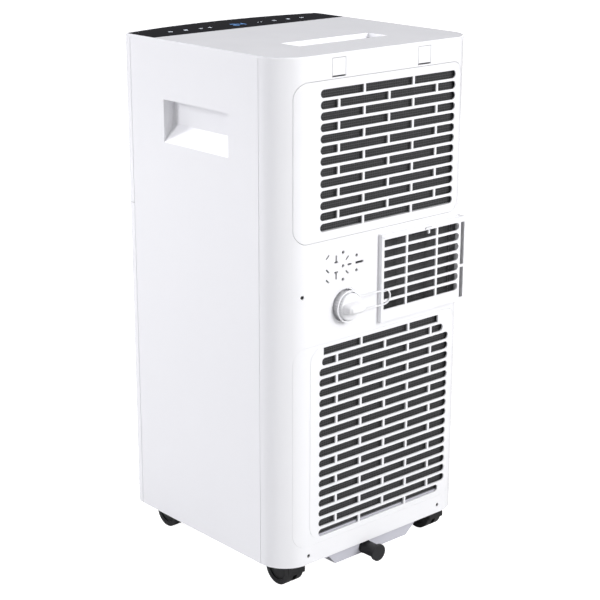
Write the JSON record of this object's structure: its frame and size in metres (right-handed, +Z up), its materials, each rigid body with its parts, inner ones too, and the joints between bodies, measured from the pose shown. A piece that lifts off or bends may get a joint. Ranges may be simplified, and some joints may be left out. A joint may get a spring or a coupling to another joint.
{
  "type": "portable air conditioner",
  "caption": "Portable air conditioner: tall white cabinet on casters, rear intake grilles, exhaust port with hose slots, drain cap, top control strip.",
  "frame": {"origin": "on the floor under the middle of the bounding box", "axes": "+Z up, -Y to the front with the air outlet, +Y to the rear with the intakes, +X to the left side seen from the rear"},
  "size_m": [0.345, 0.367, 0.713],
  "materials": {
    "white_shell": "smooth glossy cool-white moulded ABS",
    "white_small": "smooth white moulded plastic",
    "pan_grey": "light grey moulded plastic",
    "control_black": "glossy black panel",
    "circuit_green": "circuit board",
    "mesh_grey": "fine dark woven mesh",
    "inner_grey": "plain inner housing",
    "rubber_black": "satin black rubber",
    "caster_black": "satin black nylon",
    "fan_black": "satin black fan plastic",
    "fin_aluminium": "finned aluminium",
    "steel_black": "black painted steel",
    "steel": "plain steel",
    "copper": "copper tube",
    "duct_black": "dark grey matte plastic",
    "seal_grey": "soft grey seal"
  },
  "bodies": {
    "cabinet": {"base_pan": "pan_grey", "drain_sump": "pan_grey", "rear_cover": "white_shell", "side_panel_left": "white_shell", "side_panel_right": "white_shell", "front_upper_panel": "white_shell", "front_lower_panel": "white_shell", "top_cover": "white_shell", "control_overlay": "control_black", "control_board": "circuit_green", "lower_grille": "white_shell", "lower_filter_mesh": "mesh_grey", "exhaust_frame": "white_shell", "exhaust_mesh": "mesh_grey", "exhaust_duct": "inner_grey", "drain_spout": "white_small", "cap_tether": "white_small", "bottom_drain_spout": "rubber_black", "evaporator_coil": "fin_aluminium", "condenser_coil": "fin_aluminium", "compressor": "steel_black", "compressor_feet": "rubber_black", "refrigerant_pipes": "copper", "partition_deck": "inner_grey", "blower_scroll": "inner_grey", "blower_motor": "steel", "condenser_scroll": "inner_grey", "condenser_motor": "steel", "louver_motor": "steel", "outlet_frame": "duct_black", "electrical_box": "steel", "splash_motor": "steel", "rear_screws": "steel", "cord_gland": "rubber_black"},
    "filter_door": {"upper_filter_panel": "white_shell", "upper_filter_mesh": "mesh_grey"},
    "filter_latch_left": {"filter_latch_left": "white_small"},
    "filter_latch_right": {"filter_latch_right": "white_small"},
    "cap_seal": {"cap_seal": "seal_grey"},
    "drain_cap": {"drain_cap": "white_small"},
    "bottom_plug": {"bottom_drain_plug": "rubber_black"},
    "hose_lock_tab": {"hose_lock_tab": "white_small"},
    "louver": {"louver_blade": "white_small"},
    "vane_link": {"vane_link": "duct_black"},
    "blower_wheel": {"blower_wheel": "fan_black"},
    "condenser_wheel": {"condenser_wheel": "fan_black"},
    "splash_wheel": {"splash_wheel": "fan_black"},
    "vane_1": {"vane_1": "duct_black"},
    "vane_2": {"vane_2": "duct_black"},
    "vane_3": {"vane_3": "duct_black"},
    "vane_4": {"vane_4": "duct_black"},
    "vane_5": {"vane_5": "duct_black"},
    "caster_fl": {"caster_fork_fl": "caster_black"},
    "wheels_fl": {"caster_wheels_fl": "caster_black"},
    "caster_fr": {"caster_fork_fr": "caster_black"},
    "wheels_fr": {"caster_wheels_fr": "caster_black"},
    "caster_rl": {"caster_fork_rl": "caster_black"},
    "wheels_rl": {"caster_wheels_rl": "caster_black"},
    "caster_rr": {"caster_fork_rr": "caster_black"},
    "wheels_rr": {"caster_wheels_rr": "caster_black"}
  },
  "joints": [
    {"name": "filter_door_hinge", "type": "hinge", "parent": "cabinet", "child": "filter_door", "pos_m": [0, 0.1565, 0.4781], "axis": [-1, 0, 0], "range_deg": [0, 30]},
    {"name": "filter_latch_left_press", "type": "slide", "parent": "cabinet", "child": "filter_latch_left", "axis": [0, 0, -1], "range_m": [0, 0.0015], "stiffness_N_per_m": 600},
    {"name": "filter_latch_right_press", "type": "slide", "parent": "cabinet", "child": "filter_latch_right", "axis": [0, 0, -1], "range_m": [0, 0.0015], "stiffness_N_per_m": 600},
    {"name": "cap_seal_travel", "type": "slide", "parent": "cabinet", "child": "cap_seal", "axis": [0, 1, 0], "range_m": [0, 0.0121]},
    {"name": "drain_cap_turn", "type": "hinge", "parent": "cap_seal", "child": "drain_cap", "pos_m": [0.064, 0.1565, 0.3855], "axis": [0, 1, 0], "range_deg": [0, 1440]},
    {"name": "bottom_plug_pull", "type": "slide", "parent": "cabinet", "child": "bottom_plug", "axis": [0, 1, 0], "range_m": [0, 0.016]},
    {"name": "hose_lock_press", "type": "slide", "parent": "cabinet", "child": "hose_lock_tab", "axis": [0, -1, 0], "range_m": [0, 0.003], "stiffness_N_per_m": 400},
    {"name": "louver_hinge", "type": "hinge", "parent": "cabinet", "child": "louver", "pos_m": [0, -0.1655, 0.648], "axis": [1, 0, 0], "range_deg": [0, 80]},
    {"name": "vane_link_slide", "type": "slide", "parent": "cabinet", "child": "vane_link", "axis": [1, 0, 0], "range_m": [-0.006, 0.006]},
    {"name": "vane_1_turn", "type": "hinge", "parent": "cabinet", "child": "vane_1", "pos_m": [-0.092, -0.1235, 0.648], "axis": [0, 0, 1], "range_deg": [-30, 30]},
    {"name": "vane_2_turn", "type": "hinge", "parent": "cabinet", "child": "vane_2", "pos_m": [-0.046, -0.1235, 0.648], "axis": [0, 0, 1], "range_deg": [-30, 30]},
    {"name": "vane_3_turn", "type": "hinge", "parent": "cabinet", "child": "vane_3", "pos_m": [0, -0.1235, 0.648], "axis": [0, 0, 1], "range_deg": [-30, 30]},
    {"name": "vane_4_turn", "type": "hinge", "parent": "cabinet", "child": "vane_4", "pos_m": [0.046, -0.1235, 0.648], "axis": [0, 0, 1], "range_deg": [-30, 30]},
    {"name": "vane_5_turn", "type": "hinge", "parent": "cabinet", "child": "vane_5", "pos_m": [0.092, -0.1235, 0.648], "axis": [0, 0, 1], "range_deg": [-30, 30]},
    {"name": "blower_spin", "type": "hinge", "parent": "cabinet", "child": "blower_wheel", "pos_m": [0, 0.05, 0.575], "axis": [0, 1, 0], "continuous": true},
    {"name": "condenser_spin", "type": "hinge", "parent": "cabinet", "child": "condenser_wheel", "pos_m": [-0.04, 0.05, 0.188], "axis": [0, 1, 0], "continuous": true},
    {"name": "splash_spin", "type": "hinge", "parent": "cabinet", "child": "splash_wheel", "pos_m": [0.084, 0.07, 0.076], "axis": [0, 1, 0], "continuous": true},
    {"name": "caster_swivel_fl", "type": "hinge", "parent": "cabinet", "child": "caster_fl", "pos_m": [0.134, -0.1235, 0.023], "axis": [0, 0, 1], "continuous": true},
    {"name": "wheel_spin_fl", "type": "hinge", "parent": "caster_fl", "child": "wheels_fl", "pos_m": [0.134, -0.1265, 0.023], "axis": [1, 0, 0], "continuous": true},
    {"name": "caster_swivel_fr", "type": "hinge", "parent": "cabinet", "child": "caster_fr", "pos_m": [-0.134, -0.1235, 0.023], "axis": [0, 0, 1], "continuous": true},
    {"name": "wheel_spin_fr", "type": "hinge", "parent": "caster_fr", "child": "wheels_fr", "pos_m": [-0.134, -0.1265, 0.023], "axis": [1, 0, 0], "continuous": true},
    {"name": "caster_swivel_rl", "type": "hinge", "parent": "cabinet", "child": "caster_rl", "pos_m": [0.134, 0.1145, 0.023], "axis": [0, 0, 1], "continuous": true},
    {"name": "wheel_spin_rl", "type": "hinge", "parent": "caster_rl", "child": "wheels_rl", "pos_m": [0.134, 0.1175, 0.023], "axis": [1, 0, 0], "continuous": true},
    {"name": "caster_swivel_rr", "type": "hinge", "parent": "cabinet", "child": "caster_rr", "pos_m": [-0.134, 0.1145, 0.023], "axis": [0, 0, 1], "continuous": true},
    {"name": "wheel_spin_rr", "type": "hinge", "parent": "caster_rr", "child": "wheels_rr", "pos_m": [-0.134, 0.1175, 0.023], "axis": [1, 0, 0], "continuous": true}
  ],
  "couplings": [
    {"joint": "cap_seal_travel", "follows": "drain_cap_turn", "m_per_rad": 0.00047746},
    {"joint": "vane_1_turn", "follows": "vane_link_slide", "rad_per_m": -87},
    {"joint": "vane_2_turn", "follows": "vane_link_slide", "rad_per_m": -87},
    {"joint": "vane_3_turn", "follows": "vane_link_slide", "rad_per_m": -87},
    {"joint": "vane_4_turn", "follows": "vane_link_slide", "rad_per_m": -87},
    {"joint": "vane_5_turn", "follows": "vane_link_slide", "rad_per_m": -87}
  ]
}
